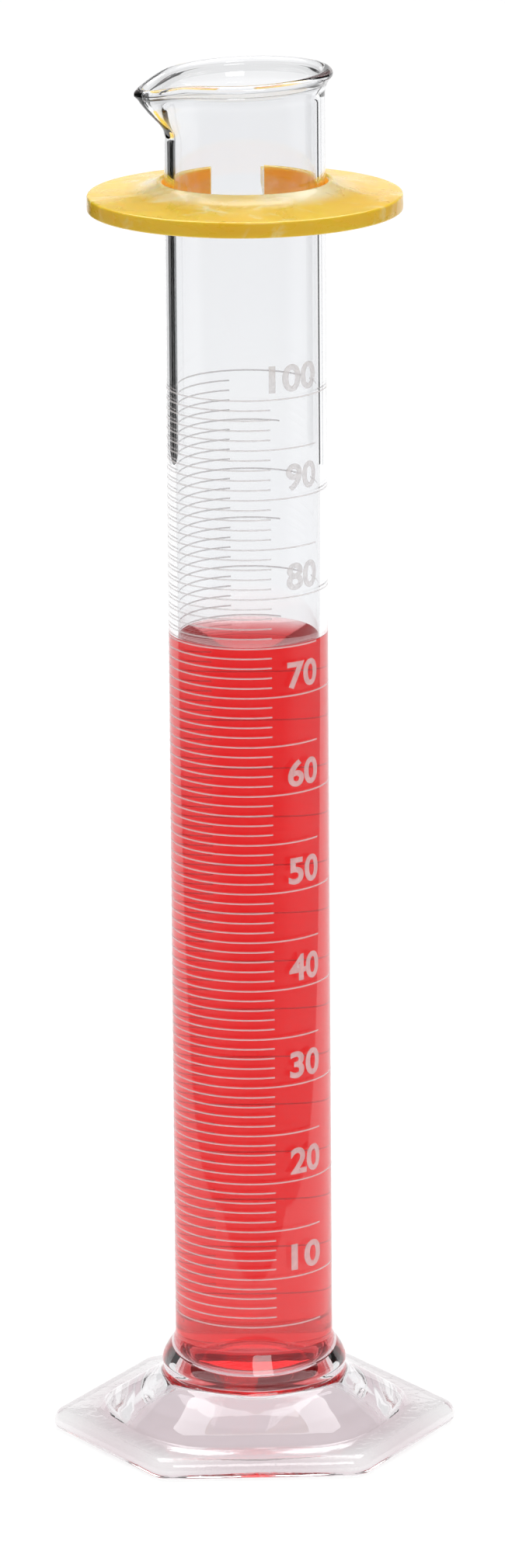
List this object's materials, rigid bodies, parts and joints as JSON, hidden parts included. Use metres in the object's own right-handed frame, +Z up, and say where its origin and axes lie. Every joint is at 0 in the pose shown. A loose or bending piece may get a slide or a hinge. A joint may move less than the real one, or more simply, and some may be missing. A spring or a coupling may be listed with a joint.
{
  "type": "graduated cylinder",
  "caption": "Tall glass measuring cylinder with spouted beaded mouth, hexagonal foot and sliding plastic bumper guard, part filled with red liquid.",
  "frame": {"origin": "centre of the foot's underside, on the tube's axis", "axes": "+Z up along the tube's axis, +X towards one corner of the hexagonal foot; the spout points towards -X"},
  "size_m": [0.0756, 0.0668, 0.2594],
  "materials": {
    "clear_glass": "polished",
    "red_liquid": "polished",
    "guard_plastic": "satin",
    "scale_enamel": "matte"
  },
  "bodies": {
    "glass": {"glass_tube": "clear_glass", "hex_foot": "clear_glass", "red_liquid": "red_liquid"},
    "guard": {"bumper_guard": "guard_plastic"}
  },
  "joints": [
    {"name": "guard_slide", "type": "slide", "parent": "glass", "child": "guard", "axis": [0, 0, 1], "range_m": [-0.213, 0.0088]}
  ]
}
